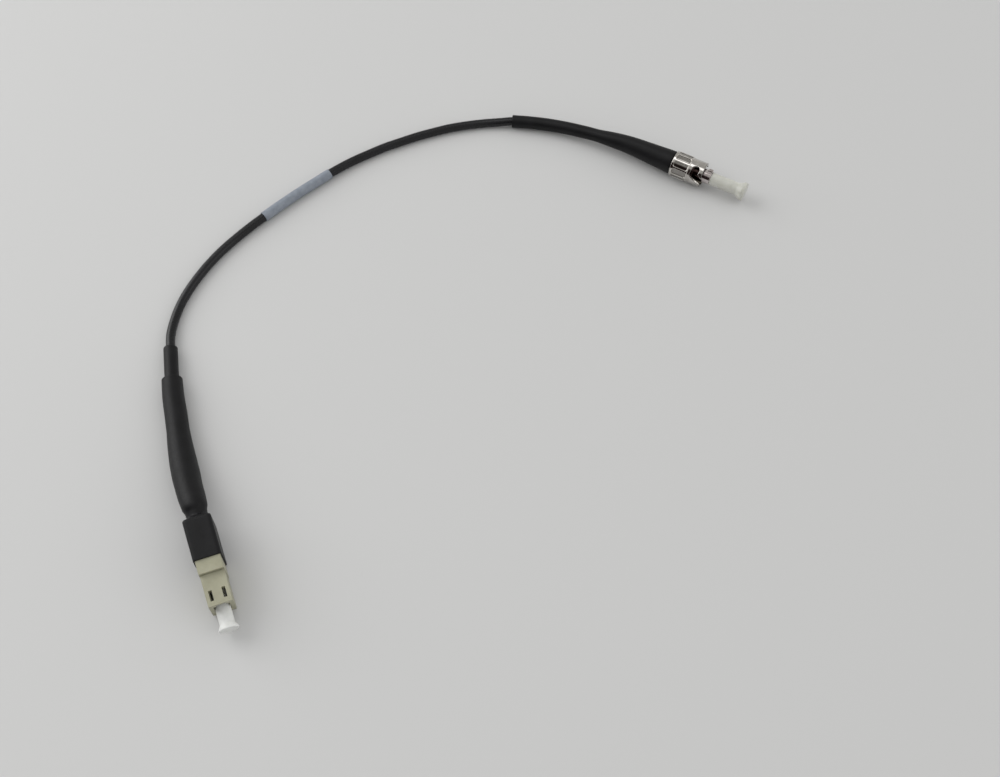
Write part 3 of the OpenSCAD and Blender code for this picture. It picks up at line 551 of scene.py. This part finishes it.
# The receptacle's shrink sleeves
jackSleeve = {
    "wall": 0.45, "gap": 0.05, "step": 0.4, "sides": 120, "leastCorner": 0.2, "roundOver": 0.6,
    "outer": [3.25, 3.4, 3.5, 3.5, 3.85, 4.15, 4.25, 4.1, 4.05, 3.75, 3.3],   # radius at each place
    "neck": 3.05, "collarWide": 7.3, "collarTop": 7.35, "collarLow": 5.25, "corner": 0.5,
    "neckPlaces": [[-14.9, 0], [-13.8, 0.4], [-13, 0.86], [-12.6, 1]],   # place, share of the box
}
underPlaces = np.array([route["toJackSleeve"][-1]] + route["inUnderSleeve"] + route["inJackSleeve"], dtype=float)
underTube = {"inner": cord["snug"], "wall": 0.7, "step": 0.5, "sides": 56, "firstSide": 0.0, "lip": 0.12}
evenTube("jackUnderSleeve", smoothPath(underPlaces, underTube["step"])[0], underTube, materials["shrink"],
         "jack_under_sleeve")

bootAlong = route["inJackBoot"] + [onJack(jack["ringEnd"]), onJack(jack["bootFront"])]
jackPlaces = np.array(
    [route["inUnderSleeve"][-1]] + route["inJackSleeve"] + bootAlong
    + [onJack(place) for place, share in jackSleeve["neckPlaces"]] + [onJack(0)], dtype=float)
share = np.array([0.0] * len(jackSleeve["outer"]) + [s for p, s in jackSleeve["neckPlaces"]] + [1.0])
boxSection = [
    jackSleeve["collarWide"] / 2 + jackSleeve["gap"] + jackSleeve["wall"],
    (jackSleeve["collarTop"] + jackSleeve["collarLow"]) / 2 + jackSleeve["gap"] + jackSleeve["wall"],
    jackSleeve["corner"] + jackSleeve["wall"],
]
roundRadius = np.array(jackSleeve["outer"] + [jackSleeve["neck"]] * (len(share) - len(jackSleeve["outer"])))
sections = [(1 - share) * roundRadius + share * value for value in boxSection]
points, along = smoothPath(jackPlaces, jackSleeve["step"])
at = chords(jackPlaces)
angles = anglesRound(jackSleeve["sides"])
halfWide, halfHigh, corner, boxShare = [
    eased(along, at, values, jackSleeve["roundOver"]) for values in (*sections, share)]
outer = boxedRound(halfWide, halfHigh, corner, angles)
wall = jackSleeve["wall"]
inner = boxedRound(halfWide - wall, halfHigh - wall, np.maximum(corner - wall, jackSleeve["leastCorner"]), angles)
# folds, most of them where the tube draws in from the collar to the neck: each place is back from the collar's
# front edge, and none leans
boxFolds = [(13.6, 0.9, 62, 9, 0.18), (13.8, 0.9, 118, 9, 0.16), (13.9, 1.0, 90, 10, -0.12),
            (13.6, 0.8, 148, 9, 0.14), (14.0, 1.0, 30, 10, -0.1), (4.0, 2.6, 96, 12, -0.06),
            (8.5, 3.5, 78, 12, 0.04)]
outer = outer + wrinkles(along, angles, [(along[-1] - back, *fold, 0.0) for back, *fold in boxFolds])
addPiece("jackShrinkSleeve", sweptTube(
    "jackShrinkSleeve", points, outer, inner, angles,
    lift=boxShare * (jackSleeve["collarTop"] - jackSleeve["collarLow"]) / 2,
    roll=(boxShare * jack["roll"])[:, None]), materials["shrink"], "jack_shrink_sleeve")
print("shrink sleeves made")

# Label tube
labelPlaces = np.array([route["toLabel"][-1]] + route["inLabel"], dtype=float)
labelTube = {"inner": cord["snug"], "wall": 0.2, "step": 0.5, "sides": 56, "firstSide": 0.0, "lip": 0.06}
label = evenTube("labelTube", smoothPath(labelPlaces, labelTube["step"])[0], labelTube, materials["label"],
                 "label_sleeve")

# Coupling nut: two layers on one grid of places along it and angles round it
nut = {
    "length": 11.5, "gripLength": 6.3, "gripRadius": 4.5, "bodyRadius": 4.325, "bore": 3.55, "rearBore": 2.65,
    "rearWall": 1.4, "edge": 0.16, "slotEdge": 0.12, "gripStep": 0.12,
    "flutes": 10, "fluteWidth": 2.05, "fluteDepth": 0.3, "fluteEnds": (0.9, 5.9), "fluteCorner": 0.5,
    "firstFlute": 3.7, "fluteWall": 0.24,
    "slotWidth": 2.6, "slotPath": [(8.8, 30), (8.5, 56), (12.2, 88)],      # place along, angle from the top
    "columns": 320, "cell": 0.105, "snap": 0.06,      # round it, along it, and the reach onto a slot's edge
    "rimSteps": (0.0, 0.08, 0.3, 0.62),      # rings on the rounded end rims, as shares of edge
}


def slotDistance(x, turn):
    # distance over the nut's skin to the nearer slot's edge, minus inside: the slot is every place within half
    # its width of a bent line, unrolled at the body's radius, and the second slot is the first turned half round
    best = np.full(np.shape(x), 1e9)
    radius = nut["bodyRadius"]
    for half in (0.0, math.pi):
        local = (turn - half + math.pi / 2) % (2 * math.pi) - math.pi / 2
        path = [np.array([px, radius * math.radians(pa)]) for px, pa in nut["slotPath"]]
        for start, end in zip(path[:-1], path[1:]):
            step = end - start
            dx, dy = x - start[0], radius * local - start[1]
            t = np.clip((dx * step[0] + dy * step[1]) / step.dot(step), 0, 1)
            best = np.minimum(best, np.hypot(dx - t * step[0], dy - t * step[1]))
    return best - nut["slotWidth"] / 2


def fluteDistance(x, turn):
    # distance over the grip to the nearest flute's outline, minus inside: an oblong with round corners
    pitch = 2 * math.pi / nut["flutes"]
    local = (turn - math.radians(nut["firstFlute"]) + pitch / 2) % pitch - pitch / 2
    low, high = nut["fluteEnds"]
    dx = np.abs(x - (low + high) / 2) - (high - low) / 2 + nut["fluteCorner"]
    dy = np.abs(local * nut["gripRadius"]) - nut["fluteWidth"] / 2 + nut["fluteCorner"]
    outside = np.hypot(np.maximum(dx, 0), np.maximum(dy, 0))
    return outside + np.minimum(np.maximum(dx, dy), 0) - nut["fluteCorner"]


def roundOff(distance, edge):
    # how far a surface drops within edge of a rim, as a quarter circle does
    reach = np.clip(1 - distance / edge, 0, 1)
    return edge * (1 - np.sqrt(1 - reach**2))


def risen(value):
    # an even rise from 0 to 1 with level ends
    t = np.clip(value, 0, 1)
    return t * t * (3 - 2 * t)


def couplingNutMesh():
    # outer radius: grip or body, less each flute's depth inside its outline and the rounding at rims and slots.
    # Places nearer than snap to a slot's edge slide onto it, and cells inside it are left out. Every open edge
    # of the outer layer is joined to the inner layer, which makes the slots' walls and the two end faces.
    rimSteps = nut["edge"] * np.array(nut["rimSteps"])
    xs = np.concatenate([rimSteps, np.arange(nut["edge"], nut["length"] - nut["edge"], nut["cell"]),
                         nut["length"] - rimSteps[::-1]])
    x, turn = np.meshgrid(xs, anglesRound(nut["columns"]), indexing="ij")
    distance = slotDistance(x, turn)
    tiny = 1e-3
    slopeX = (slotDistance(x + tiny, turn) - distance) / tiny
    slopeTurn = (slotDistance(x, turn + tiny) - distance) / tiny
    steep = slopeX**2 + (slopeTurn / nut["bodyRadius"])**2 + 1e-9
    near = (np.abs(distance) < nut["snap"]) & (x < nut["length"] - nut["edge"])
    x = np.where(near, x - distance * slopeX / steep, x)
    turn = np.where(near, turn - distance * slopeTurn / steep / nut["bodyRadius"]**2, turn)
    distance = np.where(near, 0.0, distance)
    onGrip = risen((nut["gripLength"] - x) / nut["gripStep"])
    outer = nut["bodyRadius"] + (nut["gripRadius"] - nut["bodyRadius"]) * onGrip
    flute = fluteDistance(x, turn)
    outer = outer - nut["fluteDepth"] * risen(0.5 - flute / nut["fluteWall"])
    outer = outer - roundOff(x, nut["edge"]) - roundOff(nut["length"] - x, nut["edge"])
    outer = outer - roundOff(np.maximum(distance, 0), nut["slotEdge"])
    inner = np.where(x < nut["rearWall"], nut["rearBore"], nut["bore"])
    innerX = np.where(np.abs(x - nut["rearWall"]) < nut["snap"], nut["rearWall"], x)

    def placed(along, radius):
        return np.stack([plug["at"][0] + along, plug["at"][1] - radius * np.sin(turn),
                         plug["at"][2] + radius * np.cos(turn)], axis=-1).reshape(-1, 3)

    rows, columns = x.shape
    index = np.arange(rows * columns).reshape(rows, columns)
    a, b = index[:-1], np.roll(index, -1, axis=1)[:-1]
    d, c = index[1:], np.roll(index, -1, axis=1)[1:]
    cellDistance = (distance.ravel()[a] + distance.ravel()[b] + distance.ravel()[c] + distance.ravel()[d]) / 4
    kept = cellDistance > 0
    shift = rows * columns
    faces = [np.stack([a, b, c, d], axis=-1)[kept], np.stack([d, c, b, a], axis=-1)[kept] + shift]
    outside = np.zeros((1, columns), dtype=bool)
    neighbours = [(np.vstack([outside, kept[:-1]]), a, b), (np.roll(kept, -1, axis=1), b, c),
                  (np.vstack([kept[1:], outside]), c, d), (np.roll(kept, 1, axis=1), d, a)]
    for neighbour, start, end in neighbours:
        openEdge = kept & ~neighbour
        faces.append(np.stack([end, start, start + shift, end + shift], axis=-1)[openEdge])
    mesh = bpy.data.meshes.new("couplingNut")
    vertices = np.vstack([placed(x, outer), placed(innerX, inner)]) * mm
    mesh.from_pydata(vertices.tolist(), [], np.vstack(faces).tolist())
    bm = bmesh.new()
    bm.from_mesh(mesh)
    loose = [v for v in bm.verts if not v.link_faces]
    bmesh.ops.delete(bm, geom=loose, context="VERTS")
    bmesh.ops.recalc_face_normals(bm, faces=bm.faces)
    bm.to_mesh(mesh)
    bm.free()
    return mesh


addPiece("couplingNut", couplingNutMesh(), materials["nickel"], "plug_coupling_nut", sharp=50)

# Barrel: the turned outline with its clip groove and spring flange, and the key as a block with soft edges
barrel = {"front": 14.2, "radius": 2.4, "stem": 2.6, "flange": (6.9, 7.9), "flangeRadius": 3.5, "post": 1.65,
          "postEnd": -8.8, "stemBack": -1.2, "groove": (-0.7, 0.0), "grooveRadius": 2.3, "bore": 0.55,
          "seat": 1.26, "seatBack": 5.6}
key = {"angle": -15, "length": 1.6, "width": 1.4, "root": 1.7, "top": 3.2, "corner": 0.2, "sides": 48,
       "rings": [(0.14, 0.0), (0.05, 0.04), (0.0, 0.14)]}      # under the top, drawn in
outline = [
    (barrel["postEnd"], barrel["bore"]), (barrel["postEnd"], barrel["post"]), (barrel["stemBack"], barrel["post"]),
    (barrel["stemBack"], barrel["stem"]), (barrel["groove"][0], barrel["stem"]),
    (barrel["groove"][0], barrel["grooveRadius"]), (barrel["groove"][1], barrel["grooveRadius"]),
    (barrel["groove"][1], barrel["stem"]), (barrel["flange"][0], barrel["stem"]),
    (barrel["flange"][0], barrel["flangeRadius"]), (barrel["flange"][1], barrel["flangeRadius"]),
    (barrel["flange"][1], barrel["radius"]), (barrel["front"], barrel["radius"]),
    (barrel["front"], barrel["seat"]), (barrel["seatBack"], barrel["seat"]), (barrel["seatBack"], barrel["bore"]),
]
radii = [0, 0.1, 0, 0.1, 0.05, 0, 0, 0.05, 0, 0.1, 0.1, 0, 0.18, 0.12, 0, 0]      # one for each corner
barrelMesh = turned("plugBarrel", rounded(outline, radii), plug["at"], plug["along"])


def keyMesh():
    # a stack of round-cornered oblongs, drawn in over the last rings, standing radially on the barrel
    angles = anglesRound(key["sides"])
    heights = np.array([key["root"]] + [key["top"] - under for under, drawnIn in key["rings"]])
    inset = np.array([0.0] + [drawnIn for under, drawnIn in key["rings"]])
    reach = boxedRound(key["length"] / 2 - inset, key["width"] / 2 - inset, key["corner"] - inset * 0.5, angles)
    x = barrel["front"] - key["length"] / 2 + reach * np.cos(angles)
    across = reach * np.sin(angles)
    turn = math.radians(key["angle"])
    height = heights[:, None] * np.ones_like(across)
    rows = plug["at"] + np.stack([x, across * math.cos(turn) - height * math.sin(turn),
                                  across * math.sin(turn) + height * math.cos(turn)], axis=-1)
    return gridMesh("key", rows, capped=True)


bm = bmesh.new()
bm.from_mesh(keyMesh())
bmesh.ops.recalc_face_normals(bm, faces=bm.faces)
bm.from_mesh(barrelMesh)
bm.to_mesh(barrelMesh)
bm.free()
addPiece("plugBarrel", barrelMesh, materials["barrel"], "plug_barrel")

# Ferrules: polished rods with a chamfered tip, each with its back and tip along the axis, radius and chamfer
fibreHole = 0.07
ferrules = [
    ("plugFerrule", "plug_ferrule", plug, (5.7, 20.0), 1.25, 0.25),
    ("innerFerrule", "inner_ferrule", jack, (-1.8, 4.7), 0.625, 0.15),
]
for name, node, end, (back, tip), radius, chamfer in ferrules:
    outline = [(back, fibreHole), (back, radius), (tip - chamfer, radius), (tip, radius - chamfer),
               (tip, fibreHole)]
    mesh = turned(name, rounded(outline, [0, 0.08, 0.1, 0.05, 0]), end["at"], end["along"], sides=64)
    addPiece(name, mesh, materials["zirconia"], node)

# The springs, each a copy of its node's mesh riding on its body, and the buffered fibre, fixed in place
springs = [
    ("plugSpring", "plug_spring", "nut_slide", plug, 1),
    ("innerSpring", "inner_spring", "ferrule_float", jack, -1),
]
for name, node, joint, end, travelSign in springs:
    mesh = frame["nodes"][node].data.copy()
    spring = addPiece(name, mesh, materials["steel"], node)
    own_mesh(spring)
buffer = addPiece("tightBuffer", frame["nodes"]["fibre_buffer"].data.copy(), materials["buffer"], "fibre_buffer",
                  rides=False)
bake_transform(buffer)
print("metal parts, ferrules and springs made")

# Receptacle housing: soft edges on the moulded collar and front shell
for name, node, width in (("mouldedCollar", "jack_collar", 0.08), ("mouldedFrontShell", "jack_front_shell", 0.1)):
    withBevel(addPiece(name, softened(node), materials["housing"], node), width)
print("housing made")

# Dust caps: a tube with a blind bore that flares to a disc at its closed end
plugCap = {"start": 14.25, "end": 27.0, "tube": 2.2, "disc": 3.2, "discThick": 1.2, "flare": 1.8,
           "bore": 1.27, "boreEnd": 20.5, "radii": [0, 0.15, 0.8, 0.35, 0.3, 0, 0, 0]}
dustPlug = {"start": 5.6, "end": 20.1, "tube": 2.2, "disc": 2.95, "discThick": 0.4, "flare": 1.5,
            "bore": 1.6, "boreEnd": 9.1, "radii": [0, 0.2, 1.2, 0.15, 0.15, 0, 0, 0]}
caps = [
    ("plugDustCap", "plug_dust_cap", plug, plugCap, "capClear"),
    ("jackDustPlug", "jack_dust_plug", jack, dustPlug, "capWhite"),
]
for name, node, end, cap, finish in caps:
    discBack = cap["end"] - cap["discThick"]
    outline = [
        (cap["start"], cap["bore"]), (cap["start"], cap["tube"]), (discBack - cap["flare"], cap["tube"]),
        (discBack, cap["disc"]), (cap["end"], cap["disc"]), (cap["end"], 0), (cap["boreEnd"], 0),
        (cap["boreEnd"], cap["bore"]),
    ]
    mesh = turned(name, rounded(outline, cap["radii"]), end["at"], end["along"])
    addPiece(name, mesh, materials[finish], node)
print("caps made")

# Floor, world, lamps and camera
stage = {"tone": "#cbcbca", "roughness": 0.6, "specular": 0.2, "size": 3.0,
         "worldTone": "#cbcbca", "worldLight": (0.87, 0.42), "fadeSpan": (0.0, 0.9),
         "darkSide": (-0.2, -0.93, 0.25), "darkSpan": (0.7, 0.84), "darkTone": "#2b2120",
         "ceilingTone": "#bebdba", "ceilingLamp": (2, 2, 2, 1), "ceilingLampAt": (-0.2233, 0.1, 0.9696),
         "ceilingLampSpan": (0.971, 0.987)}
floorMesh = bpy.data.meshes.new("tableTop")
half = stage["size"] / 2
floorMesh.from_pydata([(-half, -half, 0), (half, -half, 0), (half, half, 0), (-half, half, 0)], [], [(0, 1, 2, 3)])
tableTop = newObject("tableTop", floorMesh)
# a matte painted table
floorMesh.materials.append(newMaterial("paintedTable", {
    "Base Color": hexColour(stage["tone"]), "Roughness": stage["roughness"],
    "Specular IOR Level": stage["specular"]})[0])

# The world: light that fades towards the dark side, but a pale room to the eye, and in reflections a ceiling
# with its lamp and that dark side
world = bpy.data.worlds.new("paleRoom")
bpy.context.scene.world = world
world.use_nodes = True
tree = world.node_tree
tree.nodes.clear()
rays = addNode(tree, "LightPath")
towards = addNode(tree, "TexCoord")
towardsLamp = addNode(tree, "VectorMath", {"operation": "DOT_PRODUCT", 1: stage["ceilingLampAt"]},
                      {0: towards.outputs["Generated"]})
overhead = ranged(tree, towardsLamp.outputs["Value"], stage["ceilingLampSpan"])
ceiling = addNode(tree, "MixRGB", {"Color1": hexColour(stage["ceilingTone"]), "Color2": stage["ceilingLamp"]},
                  {"Fac": overhead})
darkSide = np.array(stage["darkSide"]) / np.linalg.norm(stage["darkSide"])
facing = addNode(tree, "VectorMath", {"operation": "DOT_PRODUCT", 1: tuple(darkSide)},
                 {0: towards.outputs["Generated"]})
shadow = ranged(tree, facing.outputs["Value"], stage["darkSpan"])
reflected = addNode(tree, "MixRGB", {"Color2": hexColour(stage["darkTone"])},
                    {"Fac": shadow, "Color1": ceiling.outputs[0]})
fading = ranged(tree, facing.outputs["Value"], stage["fadeSpan"], stage["worldLight"])
dim = addNode(tree, "Background", {"Color": (1, 1, 1, 1)}, {"Strength": fading})
pale = addNode(tree, "Background", {"Color": hexColour(stage["worldTone"]), "Strength": 1.0})
mirrored = addNode(tree, "Background", {"Strength": 1.0}, {"Color": reflected.outputs[0]})
glossy = addNode(tree, "Math", {"operation": "MAXIMUM"},
                 {0: rays.outputs["Is Glossy Ray"], 1: rays.outputs["Is Transmission Ray"]})
lit = addNode(tree, "MixShader", links={0: glossy.outputs[0], 1: dim.outputs[0], 2: mirrored.outputs[0]})
mixed = addNode(tree, "MixShader", links={0: rays.outputs["Is Camera Ray"], 1: lit.outputs[0], 2: pale.outputs[0]})
addNode(tree, "OutputWorld", links={"Surface": mixed.outputs[0]})


def addLamp(name, place, target, size, power):
    # a square soft lamp facing its target; places in metres
    lamp = bpy.data.lights.new(name, "AREA")
    lamp.shape = "SQUARE"
    lamp.size = size
    lamp.energy = power
    obj = newObject(name, lamp)
    obj.location = place
    obj.rotation_euler = (Vector(target) - Vector(place)).to_track_quat("-Z", "Y").to_euler()


lamps = [
    ("leftWindow", (-1.05, -0.1, 0.65), 1.1, 8.4),
    ("rightWindow", (1.0, 0.4, 0.7), 0.7, 1.0),
]
for name, place, size, power in lamps:
    addLamp(name, place, (0, 0, 0), size, power)

view = {"at": (0.11305, -0.15178, 0.3235), "heading": (-0.4756, 0.8796), "down": math.radians(62),
        "lens": 41.4, "sensor": 36, "nearest": 0.01}
camera = bpy.data.cameras.new("camera")
camera.sensor_width = view["sensor"]
camera.lens = view["lens"]
camera.clip_start = view["nearest"]
cameraObject = newObject("camera", camera)
level, drop = math.cos(view["down"]), math.sin(view["down"])
ahead = Vector((view["heading"][0] * level, view["heading"][1] * level, -drop))
cameraObject.location = view["at"]
cameraObject.rotation_euler = ahead.to_track_quat("-Z", "Y").to_euler()
bpy.context.scene.camera = cameraObject
bpy.context.scene.view_settings.view_transform = "Standard"
print("stage, lamps and camera made")
